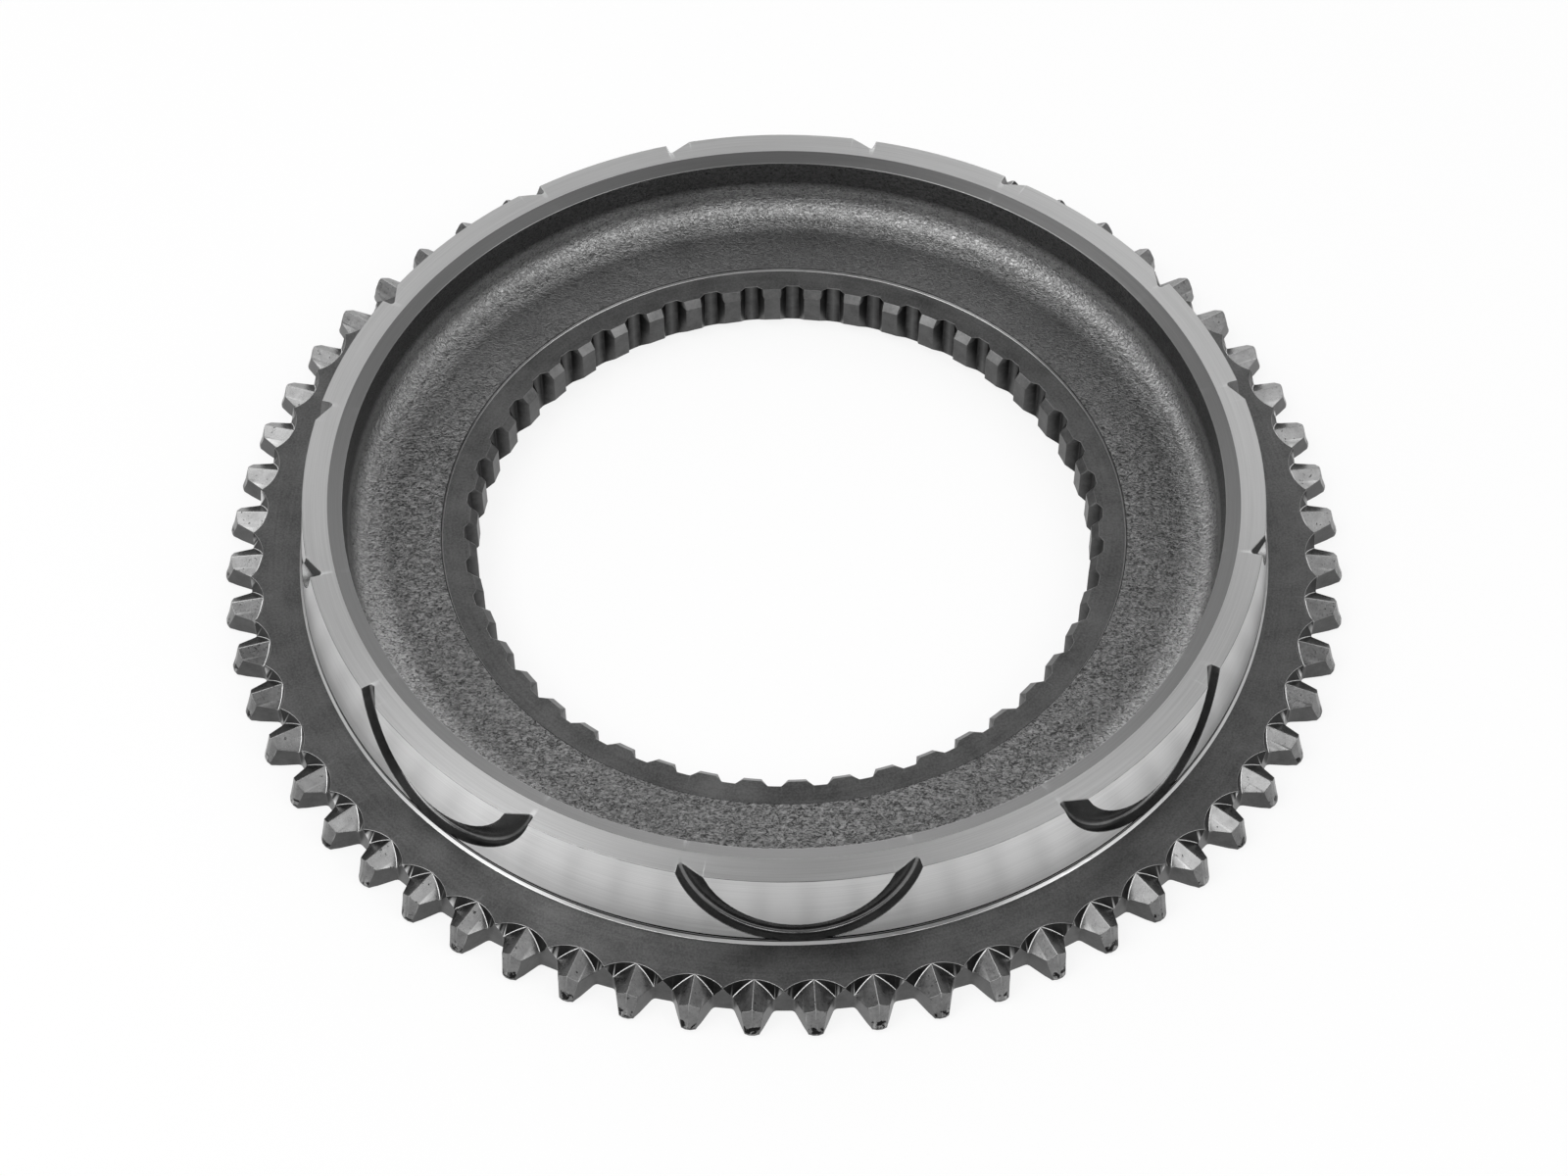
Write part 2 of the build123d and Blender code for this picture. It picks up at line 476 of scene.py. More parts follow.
    def build(self) -> tuple[Sheet, np.ndarray]:
        """Builds the dog ring.

        Returns:
            Its sheet, from the underside at the seam round the teeth to the top at the seam, and the angles.
        """
        angle = self.half_angles()
        eaves = np.full_like(angle, self.thickness / 2)
        for _ in range(self.searches):
            edge = self.boundary(angle, eaves)
            eaves = np.maximum(self.roof(edge, angle), self.scallop(edge, angle))
        edge = self.boundary(angle, eaves)
        centre, pocket_radius = self.pocket()
        arc = centre * np.cos(angle) - np.sqrt(pocket_radius**2 - (centre * np.sin(angle)) ** 2)
        inner, outer = arc.copy(), edge.copy()
        for _ in range(self.searches):
            middle = (inner + outer) / 2
            above = self.scallop(middle, angle) > self.roof(middle, angle)
            inner, outer = np.where(above, middle, inner), np.where(above, outer, middle)
        foot = np.where(self.scallop(edge, angle) >= self.roof(edge, angle), edge, inner)
        foot_height = np.where(foot == edge, eaves, self.roof(foot, angle))
        shoulder = np.clip(self.shoulder_height(angle), 0, eaves)
        shoulder[shoulder < self.tip_round / 2] = 0
        brow = np.clip(self.brow_height, shoulder, eaves)
        zero = np.zeros_like(angle)
        top = np.full_like(angle, self.thickness)
        seam = np.full_like(angle, self.seam_radius)
        profile = profiles_through(
            (seam, zero),
            (self.boundary(angle, zero), zero),
            (self.boundary(angle, shoulder), shoulder),
            (self.boundary(angle, brow), brow),
            (edge, eaves),
            (foot, foot_height),
            (arc, top),
            (seam, top),
        )
        angles, profile = round_the_ring(angle, profile, self.count, math.radians(self.phase))
        # Lighter edges are partly bare metal and partly painted highlights on the roundings, brightest at the
        # scallop's foot.
        corners = [
            Corner(Zone.FACE),
            Corner(Zone.FLANK, self.tip_rounding(angles), steps=4, edge=0.2),
            Corner(Zone.TEETH, self.edge_round, steps=3, edge=0.5),
            Corner(Zone.TEETH, self.edge_round, steps=3, edge=0.45),
            Corner(Zone.TEETH, self.edge_round, steps=3, edge=0.4),
            Corner(Zone.SCALLOP, self.foot_round, steps=4, edge=1.0),
            Corner(Zone.FACE, self.scallop_round, steps=3, edge=0.8),
            Corner(Zone.FACE),
        ]
        profile, zones, wear_and_painted_light = rounded(profile, corners)
        eaves_corner, arc_corner = 4, 6
        roof_rows = slice(first_row(corners, eaves_corner), first_row(corners, arc_corner) - 1)
        grid = row_wear_and_painted_light(wear_and_painted_light, len(angles))
        # lighter line along the ridge: partly worn metal, partly a painted highlight
        ridge = self.ridge_wear_and_highlight * (self.from_ridge(angles) < self.ridge_half_width)
        grid[:, roof_rows] = np.maximum(grid[:, roof_rows], ridge[:, None])
        return Sheet(turned_to(profile, angles), zones, grid), angles

    def from_ridge(self, angles: np.ndarray) -> np.ndarray:
        """Distance of each column from the middle of its tooth, at the tips."""
        return off_middle(angles, self.count, math.radians(self.phase)) * self.tip_radius

    def tip_rounding(self, angles: np.ndarray) -> np.ndarray:
        """Rounding of the lower edge at each column: wide at the worn tips, narrow in the valleys."""
        share = np.clip(self.worn_reach - self.from_ridge(angles), 0, 1)
        return self.edge_round + (self.tip_round - self.edge_round) * share


@dataclass
class SplinedBore:
    """Involute spline with its end chamfers, inside the seam radius. Sizes in mm and degrees.

    Its outline is drawn flat, at plan_radius. The shades are painted shade: they say how dark a space's root
    and flanks look, and painted_shade_start is the share of its depth from which they do.
    """

    count: int = 46
    phase: float = 2.3
    module: float = 2.5
    pressure_angle: float = 25.0
    space_width: float = 4.8
    minor_radius: float = 57.55
    major_radius: float = 59.8
    plan_radius: float = 58.7
    chamfer_width: float = 1.3
    lead_radius: float = 60.1
    face_height: float = 9.9
    seam_radius: float = 62.5
    edge_round: float = 0.15
    root_round: float = 0.4
    painted_root_shade: float = 0.05
    painted_flank_shade: float = 1.15
    painted_shade_start: float = 0.03

    def flank_angle_at(self, radius: float) -> float:
        """Half angle of a spline space.

        Args:
            radius: distance from the axis.

        Returns:
            The half angle there, in radians.
        """
        pressure = math.radians(self.pressure_angle)
        pitch_radius = self.module * self.count / 2
        at_radius = math.acos(pitch_radius * math.cos(pressure) / radius)
        involute = math.tan(pressure) - pressure - math.tan(at_radius) + at_radius
        return self.space_width / (2 * pitch_radius) + involute

    def plan(self) -> tuple[np.ndarray, np.ndarray]:
        """Draws the bore's outline from the middle of a space to the middle of a tooth.

        Returns:
            The angles and the radii of its points.
        """
        half_pitch = math.pi / self.count
        root_angle = self.flank_angle_at(self.major_radius)
        tip_angle = self.flank_angle_at(self.minor_radius)
        line = np.array([[
            [0.0, self.major_radius],
            [root_angle * self.plan_radius, self.major_radius],
            [tip_angle * self.plan_radius, self.minor_radius],
            [half_pitch * self.plan_radius, self.minor_radius],
        ]])
        corners = [
            Corner(Zone.SPLINE),
            Corner(Zone.SPLINE, self.root_round, steps=4),
            Corner(Zone.SPLINE, self.edge_round, steps=4),
            Corner(Zone.SPLINE),
        ]
        line, _, _ = rounded(line, corners)
        angles = line[0, :, 0] / self.plan_radius
        radii = line[0, :, 1]
        extra_low = (angles[0] + angles[1]) / 2
        extra_high = (angles[-2] + angles[-1]) / 2
        angles = np.concatenate([[angles[0], extra_low], angles[1:-1], [extra_high, angles[-1]]])
        radii = np.concatenate([[radii[0], radii[0]], radii[1:-1], [radii[-1], radii[-1]]])
        return angles, radii

    def build(self) -> tuple[Sheet, np.ndarray]:
        """Builds the spline.

        Returns:
            Its sheet, from the ring face at the seam through the bore to the underside, and the angles.
        """
        angle, radius = self.plan()
        chamfer_edge = self.minor_radius + self.chamfer_width
        top = self.face_height - np.maximum(chamfer_edge - radius, 0)
        bottom = self.lead_radius - radius
        face = np.full_like(angle, self.face_height)
        zero = np.zeros_like(angle)
        seam = np.full_like(angle, self.seam_radius)
        profile = profiles_through(
            (seam, face),
            (np.maximum(radius, chamfer_edge), face),
            (radius, top),
            (radius, bottom),
            (np.full_like(angle, self.lead_radius), zero),
            (seam, zero),
        )
        # Lighter edges are partly bare metal and partly painted highlights.
        corners = [
            Corner(Zone.FACE),
            Corner(Zone.CHAMFER, self.edge_round, steps=3, edge=0.3),
            Corner(Zone.SPLINE, self.edge_round, steps=3, edge=0.3),
            Corner(Zone.CHAMFER, self.edge_round, steps=3, edge=0.1),
            Corner(Zone.FACE, self.edge_round, steps=3, edge=0.1),
            Corner(Zone.FACE),
        ]
        phase = math.radians(self.phase)
        angles, profile = round_the_ring(angle, profile, self.count, phase)
        depth = (profile[:, 2, 0] - self.minor_radius) / (self.major_radius - self.minor_radius)
        profile, zones, wear_and_painted_light = rounded(profile, corners)
        grid = row_wear_and_painted_light(wear_and_painted_light, len(angles))
        # painted shade in the spline's spaces: darkest on the flanks, lighter in the middle of the root
        side = np.clip(off_middle(angles, self.count, phase) / self.flank_angle_at(self.major_radius), 0, 1)
        painted_shade = -(self.painted_root_shade + (self.painted_flank_shade - self.painted_root_shade) * side) * np.clip(4 * depth, 0, 1)
        top_corner, bottom_corner = 2, 3
        bore_rows = slice(first_row(corners, top_corner) - 1, first_row(corners, bottom_corner) + 1)
        grid[:, bore_rows] = np.where(depth > self.painted_shade_start, painted_shade, 0)[:, None]
        return Sheet(turned_to(profile, angles), zones, grid), angles


@dataclass
class OilGroove:
    """Section and path of the arc-shaped oil grooves across the cone. Sizes in mm and degrees."""

    count: int = 8
    phase: float = 1.7
    arc_height: float = 5.9
    arc_radius: float = 21.95
    corner_depth: float = 2.59
    floor_angle: float = 30.0
    bottom_round: float = 2.15
    edge_round: float = 0.1

    def section(self) -> np.ndarray:
        """Draws the rounded section, from its inner lip to its outer edge.

        Returns:
            Points of distance from the arc's centre and depth.
        """
        width = self.corner_depth / slope_of(self.floor_angle)
        line = np.array([[
            [self.arc_radius - width - 1, 0.0],
            [self.arc_radius - width, 0.0],
            [self.arc_radius, self.corner_depth],
            [self.arc_radius, 0.0],
            [self.arc_radius + 1, 0.0],
        ]])
        corners = [
            Corner(Zone.GROUND),
            Corner(Zone.GROOVE, 2 * self.edge_round, steps=3),
            Corner(Zone.GROOVE, self.bottom_round, steps=8),
            Corner(Zone.GROUND, self.edge_round, steps=4),
            Corner(Zone.GROUND),
        ]
        line, _, _ = rounded(line, corners)
        return line[0, 1:-1]


@dataclass
class TurnedBody:
    """Ring step, web, dished wall, chamfer, land, cone, relief and collar between the seams. Sizes in mm.

    The last fields place the columns of the mesh: plain_columns between two grooves, arc_turn and
    arc_columns along a groove's arc, end_gap past a groove's end, least_gap between two columns, and
    fine_steps in the search for a groove's rim.
    """

    dogs: DogRing
    spline: SplinedBore
    groove: OilGroove
    height: float = 23.2
    ring_edge: float = 63.8
    step_slope: float = 0.15
    web_height: float = 10.5
    web_fillet: float = 3.6
    wall_draft: float = 3.0
    chamfer_width: float = 2.7
    chamfer_depth: float = 0.75
    land_width: float = 4.6
    top_radius: float = 88.5
    half_angle: float = 6.3
    relief_top: float = 7.97
    relief_bottom: float = 7.55
    relief_depth: float = 0.5
    collar_chamfer: float = 0.45
    edge_round: float = 0.12
    plain_columns: int = 10
    arc_turn: float = 72.0
    arc_columns: int = 19
    end_gap: float = 0.02
    least_gap: float = 0.012
    fine_steps: int = 60

    def on_cone(self, slope_length: np.ndarray, depth: np.ndarray) -> np.ndarray:
        """Places points on the cone.

        Args:
            slope_length: distances down the cone from its rim.
            depth: distances below its surface.

        Returns:
            Their radii and heights.
        """
        slope = math.radians(self.half_angle)
        radius = self.top_radius + slope_length * math.sin(slope) - depth * math.cos(slope)
        return np.stack([radius, self.height - slope_length * math.cos(slope) - depth * math.sin(slope)], -1)

    def half_offsets(self) -> np.ndarray:
        """Places the columns between a groove's middle and the middle of the plain cone.

        Returns:
            Their distances from the groove's middle, along the rim.
        """
        groove = self.groove
        tilt = slope_of(self.half_angle)
        section = groove.section()
        crossings = np.sqrt(section[:, 0] ** 2 - (groove.arc_height - section[:, 1] * tilt) ** 2)
        turns = np.radians(np.linspace(0, self.arc_turn, self.arc_columns))
        spread = groove.arc_radius * np.sin(turns)
        end = crossings.max()
        half_pitch = math.pi / groove.count * self.top_radius
        plain = np.linspace(end, half_pitch, self.plain_columns + 1)[1:]
        return spaced([*spread, *crossings, end + self.end_gap, *plain], self.least_gap)

    def groove_rows(self, offset: np.ndarray) -> np.ndarray:
        """Points of the rim and of the groove's section at each column.

        Args:
            offset: distance of each column from the groove's middle, along the rim.

        Returns:
            columns x (1 + section points) x 2: the rim, then the section, repeated points where it isn't cut.
        """
        groove = self.groove
        section = groove.section()
        pairs = zip(section[:-1], section[1:])
        fine = np.concatenate([np.linspace(a, b, self.fine_steps, endpoint=False) for a, b in pairs])
        rim = self.on_cone(np.zeros(1), np.zeros(1))[0]
        rows = []
        for x in offset:
            reach = np.sqrt(np.maximum(fine[:, 0] ** 2 - x**2, 0))
            points = self.on_cone(reach - groove.arc_height, fine[:, 1])
            under = (points[:, 1] < self.height) & (fine[:, 0] > abs(x))
            if not under.any():
                rows.append(np.repeat(rim[None], len(section) + 1, 0))
                continue
            first = int(np.argmax(under))
            start = rim if first == 0 else np.array([points[first, 0], self.height])
            own_reach = np.sqrt(np.maximum(section[:, 0] ** 2 - x**2, 0))
            own = self.on_cone(own_reach - groove.arc_height, section[:, 1])
            gone = np.arange(len(section)) * self.fine_steps < first
            own[gone] = start
            rows.append(np.concatenate([start[None], own]))
        return np.array(rows)

    def foot_rows(self, rows: np.ndarray, relief_floor: float, collar: float) -> np.ndarray:
        """Points from the cone's foot to the flange, fitted to grooves that run into the relief.

        Args:
            rows: what groove_rows gave; its last points move out to the relief or the collar where needed.
            relief_floor: radius of the relief's floor.
            collar: radius of the collar.

        Returns:
            columns x 6 x 2 points: cone foot, relief corners, collar top and collar foot.
        """
        tilt = slope_of(self.half_angle)
        cone_foot = self.top_radius + (self.height - self.relief_top) * tilt
        corners = np.array([
            [cone_foot, self.relief_top],
            [relief_floor, self.relief_top],
            [relief_floor, self.relief_bottom],
            [collar, self.relief_bottom],
            [collar, self.dogs.thickness + self.collar_chamfer],
            [collar + self.collar_chamfer, self.dogs.thickness],
        ])
        out = np.repeat(corners[None], len(rows), 0)
        wall_points = 4  # the section's last points, on its outer wall
        for i, row in enumerate(rows):
            wall = row[-wall_points]
            top_height = row[-1, 1]
            if top_height > self.relief_top or np.allclose(row[-1], row[0]):
                continue
            meets = relief_floor if wall[1] + (relief_floor - wall[0]) * tilt > self.relief_bottom else collar
            end = np.array([meets, wall[1] + (meets - wall[0]) * tilt])
            row[-wall_points + 1:] = end
            lost = 2 if meets == relief_floor else 4  # corners that the groove cuts away
            out[i, :lost] = end
        return out

    def build(self) -> tuple[Sheet, np.ndarray]:
        """Builds the turned body.

        Returns:
            Its sheet, from the ring face at the inner seam to the flange's top, and the angles.
        """
        offset = self.half_offsets()
        rows = self.groove_rows(offset)
        land_inner = self.top_radius - self.land_width
        wall_top = (land_inner - self.chamfer_width, self.height - self.chamfer_depth)
        wall_foot = wall_top[0] - (wall_top[1] - self.web_height) * slope_of(self.wall_draft)
        slope = slope_of(self.half_angle)
        relief_floor = self.top_radius + (self.height - self.relief_top) * slope - self.relief_depth
        collar = self.top_radius + (self.height - self.relief_bottom) * slope
        foot = self.foot_rows(rows, relief_floor, collar)
        start = np.array([
            [self.spline.seam_radius, self.spline.face_height],
            [self.ring_edge, self.spline.face_height],
            [self.ring_edge + self.step_slope, self.web_height],
            [wall_foot, self.web_height],
            wall_top,
            [land_inner, self.height],
        ])
        end = np.array([[self.dogs.seam_radius, self.dogs.thickness]])
        inside, outside = (np.repeat(part[None], len(offset), 0) for part in (start, end))
        profile = np.concatenate([inside, rows, foot, outside], 1)
        small = self.edge_round
        section_points = rows.shape[1] - 1
        # Lighter edges are partly bare metal and partly painted highlights; the dark lines on the web's edge
        # at the ring step and along the cone's rim are painted shade.
        corners = [
            Corner(Zone.FACE),
            Corner(Zone.COLLAR, small, steps=3, edge=0.5),
            Corner(Zone.FORGED, 2 * small, steps=4, edge=-1.0),
            Corner(Zone.FORGED, self.web_fillet, steps=10),
            Corner(Zone.TURNED, 1.5 * small, steps=4, edge=0.3),
            Corner(Zone.LAND, small, steps=4, edge=0.8),
            Corner(Zone.GROUND, small, steps=4, edge=-0.7),
            *[Corner(Zone.GROOVE)] * (section_points - 1),
            Corner(Zone.GROUND),
            Corner(Zone.RELIEF, small / 2, steps=3),
            Corner(Zone.RELIEF, small / 2, steps=3),
            Corner(Zone.RELIEF, small / 2, steps=3),
            Corner(Zone.FACE, small, steps=4, edge=0.2),
            Corner(Zone.COLLAR, small, steps=3, edge=0.3),
            Corner(Zone.FACE, small, steps=3),
            Corner(Zone.FACE),
        ]
        phase = math.radians(self.groove.phase)
        angles, profile = round_the_ring(offset / self.top_radius, profile, self.groove.count, phase)
        profile, zones, wear_and_painted_light = rounded(profile, corners)
        return Sheet(turned_to(profile, angles), zones, row_wear_and_painted_light(wear_and_painted_light, len(angles))), angles


@dataclass
class RingMesh:
    """Collects the sheets of the ring and welds them into one closed mesh.

    Args:
        weld_gap: points closer than this become one, in mm.
        least_edge: shorter edges are dissolved, in mm.
        sharp_angle: edges that turn more than this stay sharp, in degrees.
        points: what the sheets brought.
        wear_and_painted_light: the edge value of each point, with its painted highlights and painted shade.
        faces: vertex numbers of each face.
        zones: number of each face's finish.
        total: number of points so far.
    """

    weld_gap: float = 0.002
    least_edge: float = 0.001
    sharp_angle: float = 38.0
    points: list[np.ndarray] = field(default_factory=list)
    wear_and_painted_light: list[np.ndarray] = field(default_factory=list)
    faces: list[tuple[int, ...]] = field(default_factory=list)
    zones: list[int] = field(default_factory=list)
    total: int = 0

    def add(self, sheet: Sheet) -> np.ndarray:
        """Adds a sheet, closed round the axis.

        Args:
            sheet: the sheet.

        Returns:
            The vertex numbers, columns x rows.
        """
        columns, rows, _ = sheet.points.shape
        numbers = self.total + np.arange(columns * rows).reshape(columns, rows)
        self.points.append(sheet.points.reshape(-1, 3))
        self.wear_and_painted_light.append(sheet.wear_and_painted_light.ravel())
        self.total += columns * rows
        following = np.roll(numbers, -1, axis=0)
        for row, zone in enumerate(sheet.zones):
            corner_sets = zip(numbers[:, row], following[:, row], following[:, row + 1], numbers[:, row + 1])
            self.faces += [tuple(int(v) for v in corners) for corners in corner_sets]
            self.zones += [ZONE_ORDER.index(zone)] * columns
        return numbers

    def join(
        self, first: np.ndarray, first_angles: np.ndarray, second: np.ndarray, second_angles: np.ndarray
    ) -> None:
        """Joins two level loops about the axis with triangles.

        Args:
            first: vertex numbers of one loop.
            first_angles: their angles, in radians.
            second: vertex numbers of the other loop.
            second_angles: their angles, in radians.
        """
        loops = []
        for numbers, angles in ((first, first_angles), (second, second_angles)):
            wrapped = np.mod(angles, 2 * np.pi)
            order = np.argsort(wrapped)
            turned = np.concatenate([wrapped[order], [wrapped[order[0]] + 2 * np.pi]])
            loops.append((np.concatenate([numbers[order], [numbers[order[0]]]]), turned))
        (a, a_turn), (b, b_turn) = loops
        i = j = 0
        while i < len(a) - 1 or j < len(b) - 1:
            step_first = j == len(b) - 1 or (i < len(a) - 1 and a_turn[i + 1] <= b_turn[j + 1])
            if step_first:
                self.faces.append((int(a[i]), int(a[i + 1]), int(b[j])))
                i += 1
            else:
                self.faces.append((int(b[j]), int(b[j + 1]), int(a[i])))
                j += 1
            self.zones.append(ZONE_ORDER.index(Zone.FACE))

    def make(self, name: str) -> bpy.types.Object:
        """Welds what was collected into one object, in metres.

        Args:
            name: name of the object.

        Returns:
            The object, linked to the scene.
        """
        mesh = bpy.data.meshes.new(name)
        mesh.from_pydata(np.concatenate(self.points).tolist(), [], self.faces)
        mesh.polygons.foreach_set("material_index", self.zones)
        attribute = mesh.attributes.new(EDGE_WEAR_AND_LIGHT_ATTRIBUTE, "FLOAT", "POINT")
        attribute.data.foreach_set("value", np.concatenate(self.wear_and_painted_light).astype(np.float32))
        work = bmesh.new()
        work.from_mesh(mesh)
        bmesh.ops.remove_doubles(work, verts=work.verts[:], dist=self.weld_gap)
        bmesh.ops.dissolve_degenerate(work, dist=self.least_edge, edges=work.edges[:])
        bmesh.ops.recalc_face_normals(work, faces=work.faces[:])
        bmesh.ops.scale(work, vec=(MM, MM, MM), verts=work.verts[:])
        open_edges = sum(1 for edge in work.edges if not edge.is_manifold)
        work.to_mesh(mesh)
        work.free()
        mesh.shade_smooth()
        mesh.set_sharp_from_angle(angle=math.radians(self.sharp_angle))
        ring = bpy.data.objects.new(name, mesh)
        bpy.context.scene.collection.objects.link(ring)
        weighted = ring.modifiers.new("weighted_normals", "WEIGHTED_NORMAL")
        weighted.keep_sharp = True
        triangles = sum(len(face.vertices) - 2 for face in mesh.polygons)
        LOG.info("%s: %d triangles, %d open edges", name, triangles, open_edges)
        return ring


# Materials


class Wire:
    """An output socket of a node tree that takes part in arithmetic."""

    def __init__(self, tree: bpy.types.NodeTree, socket: bpy.types.NodeSocket) -> None:
        """Wraps a socket of a tree."""
        self.tree = tree
        self.socket = socket

    def math(self, operation: str, *others: "Wire | float") -> "Wire":
        """Applies a Math operation to this value and others."""
        return math_node(self.tree, operation, self, *others)

    def __add__(self, other: "Wire | float") -> "Wire":
        """Sum."""
        return self.math("ADD", other)

    def __radd__(self, other: "Wire | float") -> "Wire":
        """Sum, reflected."""
        return math_node(self.tree, "ADD", other, self)

    def __sub__(self, other: "Wire | float") -> "Wire":
        """Difference."""
        return self.math("SUBTRACT", other)

    def __rsub__(self, other: "Wire | float") -> "Wire":
        """Difference, reflected."""
        return math_node(self.tree, "SUBTRACT", other, self)

    def __mul__(self, other: "Wire | float") -> "Wire":
        """Product."""
        return self.math("MULTIPLY", other)

    def __rmul__(self, other: "Wire | float") -> "Wire":
        """Product, reflected."""
        return math_node(self.tree, "MULTIPLY", other, self)

    def __truediv__(self, other: "Wire | float") -> "Wire":
        """Quotient."""
        return self.math("DIVIDE", other)

    def __rtruediv__(self, other: "Wire | float") -> "Wire":
        """Quotient, reflected."""
        return math_node(self.tree, "DIVIDE", other, self)

    def clamped(self) -> "Wire":
        """This value, held between 0 and 1."""
        return self.math("MAXIMUM", 0.0).math("MINIMUM", 1.0)

    def between(self, low: float, high: float) -> "Wire":
        """0 at low, 1 at high, held outside them."""
        return ((self - low) / (high - low)).clamped()


def math_node(tree: bpy.types.NodeTree, operation: str, *values: Wire | float) -> Wire:
    """Adds a Math node.

    Args:
        tree: the node tree.
        operation: the node's operation.
        values: wires or numbers for its inputs.

    Returns:
        Its output.
    """
    node = tree.nodes.new("ShaderNodeMath")
    node.operation = operation
    for i, value in enumerate(values):
        if isinstance(value, Wire):
            tree.links.new(value.socket, node.inputs[i])
        else:
            node.inputs[i].default_value = value
    return Wire(tree, node.outputs[0])


class Painter:
    """Builds the node tree of one material."""

    def __init__(self, name: str) -> None:
        """Starts an empty material.

        Args:
            name: its name.
        """
        self.material = bpy.data.materials.new(name)
        self.material.use_nodes = True
        self.tree = self.material.node_tree
        self.tree.nodes.clear()

    def node(
        self, kind: str, settings: dict[str, Any] | None = None, inputs: dict[str | int, Any] | None = None
    ) -> bpy.types.Node:
        """Adds a node.

        Args:
            kind: the node's type.
            settings: attributes to set on it.
            inputs: wires or values by input name or number.

        Returns:
            The node.
        """
        node = self.tree.nodes.new(kind)
        for key, value in (settings or {}).items():
            setattr(node, key, value)
        for key, value in (inputs or {}).items():
            if isinstance(value, Wire):
                self.tree.links.new(value.socket, node.inputs[key])
            else:
                node.inputs[key].default_value = value
        return node

    def blend(self, share: Wire, first: bpy.types.Node, second: bpy.types.Node) -> bpy.types.Node:
        """A Mix Shader between two shaders."""
        return self.node("ShaderNodeMixShader", inputs={0: share, 1: self.wire(first), 2: self.wire(second)})

    def wire(self, node: bpy.types.Node, output: int | str = 0) -> Wire:
        """One output of a node."""
        return Wire(self.tree, node.outputs[output])

    def position(self) -> Wire:
        """The place on the object, in metres."""
        return self.wire(self.node("ShaderNodeTexCoord"), "Object")

    def place(self) -> tuple[Wire, Wire, Wire, Wire]:
        """Splits the place on the object.

        Returns:
            X, Y, Z and the distance from the axis, in metres.
        """
        parts = self.node("ShaderNodeSeparateXYZ", inputs={0: self.position()})
        x, y, z = (self.wire(parts, i) for i in range(3))
        return x, y, z, (x * x + y * y).math("SQRT")

    def vector(self, x: Wire | float, y: Wire | float, z: Wire | float) -> Wire:
        """A vector of three values."""
        return self.wire(self.node("ShaderNodeCombineXYZ", inputs={0: x, 1: y, 2: z}))

    def noise(
        self, where: Wire, scale: float, detail: float = 2.0, roughness: float = 0.5, distortion: float = 0.0
    ) -> Wire:
        """Noise of 0 to 1 at a place.

        Args:
            where: the place.
            scale: features per unit.
            detail: octaves.
            roughness: weight of the finer octaves.
            distortion: how far the place is shifted.

        Returns:
            The value.
        """
        inputs = {
            "Vector": where,
            "Scale": scale,
            "Detail": detail,
            "Roughness": roughness,
            "Distortion": distortion,
        }
        return self.wire(self.node("ShaderNodeTexNoise", inputs=inputs))

    def lay(self, pitch: float, length: float) -> Wire:
        """Fine turning marks round the axis, on flat faces and on cones, as values of 0 to 1.

        Args:
            pitch: distance between marks, in metres.
            length: how long a mark is, in metres, roughly.

        Returns:
            The value.
        """
        x, y, z, radius = self.place()
        cone_radius = 0.09
        turns = cone_radius / length
        where = self.vector(x / radius * turns, y / radius * turns, (radius + z) / pitch)
        return self.noise(where, 1.0, detail=3.0, roughness=0.65)

    def edged_with_painted_light(self, colour: Wire, tone: float) -> Wire:
        """Lightens a colour along edges, which are partly bare metal and partly painted highlights, and
        darkens it with painted shade along dark lines and in the spline's spaces.

        Args:
            colour: the colour of the surface.
            tone: brightness of a lighter edge, bare metal with a painted highlight.

        Returns:
            The colour with its edges.
        """
        wear_and_painted_light = self.wire(self.node("ShaderNodeAttribute", {"attribute_name": EDGE_WEAR_AND_LIGHT_ATTRIBUTE}), "Fac")
        broken = self.noise(self.position(), 500.0, roughness=0.6) + 0.45
        colour = self.mix((wear_and_painted_light * broken).clamped(), colour, grey(tone))
        # painted shade: near-black colour for the dark lines and the spline's shaded spaces
        painted_dark_line = grey(0.02)
        return self.mix((wear_and_painted_light * broken * -1.0).clamped(), colour, painted_dark_line)

    def mix(self, share: Wire, low: Wire | Colour, high: Wire | Colour) -> Wire:
        """A colour between two.

        Args:
            share: 0 for the first, 1 for the second.
            low: the first colour, plain or a wire.
            high: the second colour, plain or a wire.

        Returns:
            The colour.
        """
        node = self.node("ShaderNodeMix", {"data_type": "RGBA"}, {0: share, 6: low, 7: high})
        return self.wire(node, 2)

    def bump(self, height: Wire, distance: float) -> Wire:
        """A normal bent by a height of 0 to 1 over a distance in metres."""
        node = self.node("ShaderNodeBump", inputs={"Strength": 1.0, "Distance": distance, "Height": height})
        return self.wire(node)

    def finish(self, **inputs: Any) -> bpy.types.Material:
        """Ends the tree in one shader.

        Args:
            inputs: wires or values of the shader, its input names with underscores for spaces.

        Returns:
            The material.
        """
        named = {key.replace("_", " "): value for key, value in inputs.items()}
        shader = self.node("ShaderNodeBsdfPrincipled", inputs=named)
        self.node("ShaderNodeOutputMaterial", inputs={0: self.wire(shader)})
        return self.material


def grey(value: float) -> Colour:
    """A grey of that brightness."""
    return (value, value, value, 1.0)


